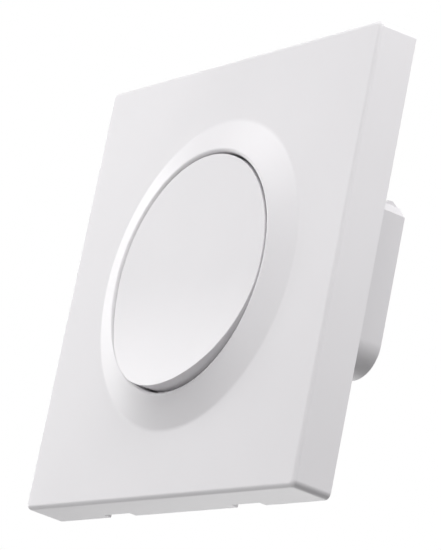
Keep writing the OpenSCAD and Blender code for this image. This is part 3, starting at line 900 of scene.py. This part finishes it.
@dataclass(frozen=True)
class Housing:
    """The box behind the plate, with chamfered upper corners and a low ridge across its top."""

    low: Point
    high: Point
    top: float = 18.5 * MM
    wall: float = 1.8 * MM
    corner: float = 6.25 * MM
    corner_steps: int = 14
    chamfer: float = 2 * MM
    edge: float = 0.4 * MM
    edge_steps: int = 5
    ridge_side: float = 0.4 * MM
    ridge_back: float = 1.8 * MM
    ridge_flat: float = 0.7 * MM
    ridge_front: float = 1.3 * MM
    ridge_sink: float = 0.6 * MM
    crest_edge: float = 0.25 * MM
    crest_steps: int = 4
    end_edge: float = 0.2 * MM
    end_steps: int = 3
    terminals: int = 4
    pitch: float = 9.2 * MM
    terminal_z: float = 12.7 * MM
    screw_hole: float = 2.7 * MM
    wire_y: float = 10.6 * MM
    wire_hole: float = 2.5 * MM
    hole_length: float = 4 * MM
    mouth_flare: float = 0.5 * MM
    mouth_foot: float = 0.1 * MM
    mouth_over: float = 0.3 * MM
    mouth_depth: float = 0.6 * MM
    boss_radius: float = 2.4 * MM
    boss_x: float = 20.4 * MM
    boss_heights: tuple[float, float] = (14.5 * MM, -9.6 * MM)
    boss_start: float = -2 * MM
    boss_length: float = 30 * MM
    pilot_radius: float = 1.15 * MM
    pilot_length: float = 9.4 * MM
    pilot_steps: int = 24

    def shell(self, inset: float, start: float) -> bpy.types.Object:
        """Make the housing's outline as a solid, smaller by an inset.

        Args:
            inset: How far each side moves in.
            start: Where the front end lies.

        Returns:
            The solid.
        """
        x, back = self.high[0] - inset, self.high[1] - inset
        low, top = self.low[2] + inset, self.top - inset
        main = add_block("rear_housing_moulding", (-x, start, low), (x, back, top))
        corner = self.corner - inset
        chamfer = self.chamfer - inset * (2 - math.sqrt(2))
        with editing(main):
            bevel_edges(
                main, lambda at, way: abs(way.y) > ALONG and at.z < 0, corner, self.corner_steps
            )
            bevel_edges(main, lambda at, way: abs(way.y) > ALONG and at.z > 0, chamfer, 1)
            if not inset:
                bevel_edges(
                    main,
                    lambda at, way: at.y > back - SAME and abs(way.y) < ACROSS,
                    self.edge,
                    self.edge_steps,
                )
        return main

    def ridge(self) -> bpy.types.Object:
        """Make the low ridge across the top, behind the wire entries.

        Returns:
            The ridge, sunk into the top wall.
        """
        x = self.high[0] - self.chamfer - self.ridge_side
        back, crest = self.high[1], self.high[2]
        foot = self.top - self.ridge_sink
        flat_end = back - self.ridge_back
        start = flat_end - self.ridge_flat - self.ridge_front
        ridge = add_block("ridge", (-x, start, foot), (x, back - NEAR, self.top))
        span = back - start
        middle = flat_end - self.ridge_flat / 2
        with editing(ridge):
            pick(ridge, Part.FACE, lambda at, way: way.z > ALONG)
            extrude(0, 0, crest - self.top)
            bpy.ops.transform.resize(
                value=(1, self.ridge_flat / span, 1), center_override=(0, start + span / 2, 0)
            )
            bpy.ops.transform.translate(value=(0, middle - start - span / 2, 0))
            bevel_edges(
                ridge,
                lambda at, way: at.z > crest - NEAR and abs(way.x) > ALONG,
                self.crest_edge,
                self.crest_steps,
            )
            bevel_edges(
                ridge,
                lambda at, way: at.z > self.top + NEAR and abs(at.x) > x - NEAR,
                self.end_edge,
                self.end_steps,
            )
        return ridge

    def bosses(self) -> list[bpy.types.Object]:
        """Make the four posts that the case screws go into.

        Returns:
            The posts, longer than the housing is deep.
        """
        return [
            add_rod(
                "boss",
                self.boss_radius,
                (side.value * self.boss_x, self.boss_start, z),
                Axis.Y,
                self.boss_length,
            )
            for side in Side
            for z in self.boss_heights
        ]

    def mouth(self, x: float) -> bpy.types.Object:
        """Make the cutter that flares the mouth of a wire entry.

        Args:
            x: Where the entry lies across the housing.

        Returns:
            The cutter.
        """
        wide = self.wire_hole + self.mouth_flare
        narrow = self.wire_hole - self.mouth_foot
        start = (x, self.wire_y, self.top + self.mouth_over)
        mouth = add_rod("mouth", wide, start, Axis.Z, -self.mouth_depth)
        share = narrow / wide
        with editing(mouth):
            pick(mouth, Part.FACE, lambda at, way: way.z < -ALONG)
            bpy.ops.transform.resize(
                value=(share, share, 1), center_override=(x, self.wire_y, 0)
            )
        return mouth

    def holes(self) -> list[bpy.types.Object]:
        """Make the cutters for the clamp screws, the wires and the case screws.

        Returns:
            The cutters.
        """
        made = []
        length = self.hole_length
        for i in range(self.terminals):
            x = (i - (self.terminals - 1) / 2) * self.pitch
            screw = (x, self.high[1] + OVERRUN, self.terminal_z)
            wire = (x, self.wire_y, self.top + OVERRUN)
            made.append(add_rod("screw_hole", self.screw_hole, screw, Axis.Y, -length))
            made.append(add_rod("wire_hole", self.wire_hole, wire, Axis.Z, -length))
            made.append(self.mouth(x))
        for side in Side:
            for z in self.boss_heights:
                made.append(
                    add_rod(
                        "pilot",
                        self.pilot_radius,
                        (side.value * self.boss_x, -OVERRUN, z),
                        Axis.Y,
                        self.pilot_length,
                        self.pilot_steps,
                    )
                )
        return made

    def build(self) -> bpy.types.Object:
        """Hollow the outline around the bosses, and drill the holes.

        Returns:
            The finished housing.
        """
        body = self.shell(0, 0)
        combine(body, [self.ridge()], Join.WELD)
        cavity = self.shell(self.wall, -OVERRUN)
        combine(cavity, self.bosses(), Join.CUT)
        combine(body, [cavity], Join.CUT)
        combine(body, self.holes(), Join.CUT)
        return body

    def dress(self, materials: dict[str, bpy.types.Material]) -> None:
        """Build the housing and finish it."""
        white = materials["housing_white"]
        finish_piece(self.build(), white, "base", ["rear_housing"])


@dataclass(frozen=True)
class Lamp:
    """A square soft light that faces the switch."""

    name: str
    place: Point
    size: float
    watts: float

    def hang(self) -> None:
        """Hang the light in the room."""
        data = bpy.data.lights.new(self.name, "AREA")
        data.size = self.size
        data.energy = self.watts
        lamp = bpy.data.objects.new(self.name, data)
        bpy.context.scene.collection.objects.link(lamp)
        lamp.location = self.place
        lamp.rotation_euler = (-Vector(self.place)).to_track_quat("-Z", "Y").to_euler()


@dataclass(frozen=True)
class Studio:
    """The camera at the photograph's place, with soft light and a white surround."""

    eye: Point = (0.461050, -0.303915, -0.148481)
    right: Point = (0.579627, 0.792182, 0.191003)
    up: Point = (0.107428, -0.306631, 0.945747)
    focal_length: float = 202.122
    sensor: float = 36
    clip_start: float = 0.01
    room_light: float = 0.22
    lamps: tuple[Lamp, ...] = (
        Lamp("front", (0, -0.886, -0.156), 0.45, 2.2),
        Lamp("upper_left", (-0.45, -0.45, 0.636), 0.45, 1.85),
        Lamp("upper_back", (0.45, 0.45, 0.636), 0.45, 4.7),
        Lamp("lower_back", (-0.521, 0.521, -0.516), 0.45, 1.6),
        Lamp("near_left", (-0.397, -0.106, 0.087), 0.25, 0.48),
        Lamp("near_right", (0.27, -0.156, 0.281), 0.25, 0.88),
    )
    floor_size: float = 6
    floor_drop: float = 1.2
    floor_shade: float = 0.75
    floor_roughness: float = 0.8
    floor_glow: float = 0.55

    def camera(self) -> None:
        """Stand the camera where the photograph was taken."""
        data = bpy.data.cameras.new("camera")
        data.lens = self.focal_length
        data.sensor_width = self.sensor
        data.sensor_fit = "AUTO"
        data.clip_start = self.clip_start
        camera = bpy.data.objects.new("camera", data)
        bpy.context.scene.collection.objects.link(camera)
        right, up = Vector(self.right), Vector(self.up)
        turn = Matrix((right, up, right.cross(up))).transposed().to_4x4()
        camera.matrix_world = Matrix.Translation(self.eye) @ turn
        bpy.context.scene.camera = camera

    def surround(
        self,
        tree: bpy.types.NodeTree,
        lit: bpy.types.NodeSocket,
        white: bpy.types.NodeSocket,
        out: bpy.types.NodeSocket,
    ) -> None:
        """Show plain white to the camera and to reflections, and something else to diffuse light.

        Args:
            tree: The node tree to build in.
            lit: The shader that light meets.
            white: The shader that the camera meets.
            out: The surface socket.
        """
        path = tree.nodes.new("ShaderNodeLightPath")
        total = path.outputs["Is Camera Ray"]
        for name in ("Is Glossy Ray", "Is Transmission Ray"):
            adder = tree.nodes.new("ShaderNodeMath")
            adder.operation = "MAXIMUM"
            tree.links.new(total, adder.inputs[0])
            tree.links.new(path.outputs[name], adder.inputs[1])
            total = adder.outputs[0]
        mix = tree.nodes.new("ShaderNodeMixShader")
        tree.links.new(total, mix.inputs[0])
        tree.links.new(lit, mix.inputs[1])
        tree.links.new(white, mix.inputs[2])
        tree.links.new(mix.outputs[0], out)

    def room(self) -> None:
        """Fill the room with soft light, white behind the switch."""
        world = bpy.data.worlds.new("room")
        bpy.context.scene.world = world
        world.use_nodes = True
        tree = world.node_tree
        fill = tree.nodes["Background"]
        fill.inputs["Color"].default_value = (1, 1, 1, 1)
        fill.inputs["Strength"].default_value = self.room_light
        white = tree.nodes.new("ShaderNodeBackground")
        white.inputs["Color"].default_value = (1, 1, 1, 1)
        out = tree.nodes["World Output"].inputs["Surface"]
        self.surround(tree, fill.outputs[0], white.outputs[0], out)

    def floor(self) -> None:
        """Lay a plain pale floor well below the switch."""
        deselect()
        place = (0, 0, -self.floor_drop)
        bpy.ops.mesh.primitive_plane_add(size=self.floor_size, location=place)
        floor = settle("floor")
        material = bpy.data.materials.new("floor_pale")
        material.use_nodes = True
        tree = material.node_tree
        lit = tree.nodes["Principled BSDF"]
        lit.inputs["Base Color"].default_value = (*[self.floor_shade] * 3, 1)
        lit.inputs["Roughness"].default_value = self.floor_roughness
        glow = tree.nodes.new("ShaderNodeEmission")
        glow.inputs["Strength"].default_value = self.floor_glow
        pale = tree.nodes.new("ShaderNodeAddShader")
        tree.links.new(lit.outputs[0], pale.inputs[0])
        tree.links.new(glow.outputs[0], pale.inputs[1])
        out = tree.nodes["Material Output"].inputs["Surface"]
        self.surround(tree, lit.outputs[0], pale.outputs[0], out)
        floor.data.materials.append(material)

    def build(self) -> None:
        """Set the view, the light and the surround."""
        bpy.context.scene.view_settings.view_transform = "Standard"
        self.camera()
        self.room()
        for lamp in self.lamps:
            lamp.hang()
        self.floor()


def dress_frame(materials: dict[str, bpy.types.Material]) -> None:
    """Give each CAD node the finish of its slot.

    Args:
        materials: The finishes, by slot.
    """
    for entry in frame["record"]["subparts"]:
        node = frame["nodes"][entry["node"]]
        node.data.materials.clear()
        node.data.materials.append(materials[entry["material_slot"]])


def main() -> None:
    """Build the finishes, the mouldings and the studio in order."""
    logging.basicConfig(level=logging.INFO, format="%(name)s: %(message)s")
    materials = {finish.name: finish.material() for finish in FINISHES}
    dress_frame(materials)
    low, high = (Vector(corner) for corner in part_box("front_cover"))
    FrontCover(size=high.x - low.x).dress(materials)
    Paddle().dress(materials)
    Housing(*(tuple(corner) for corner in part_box("rear_housing"))).dress(materials)
    Studio().build()
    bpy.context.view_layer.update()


if __name__ == "__main__":
    main()
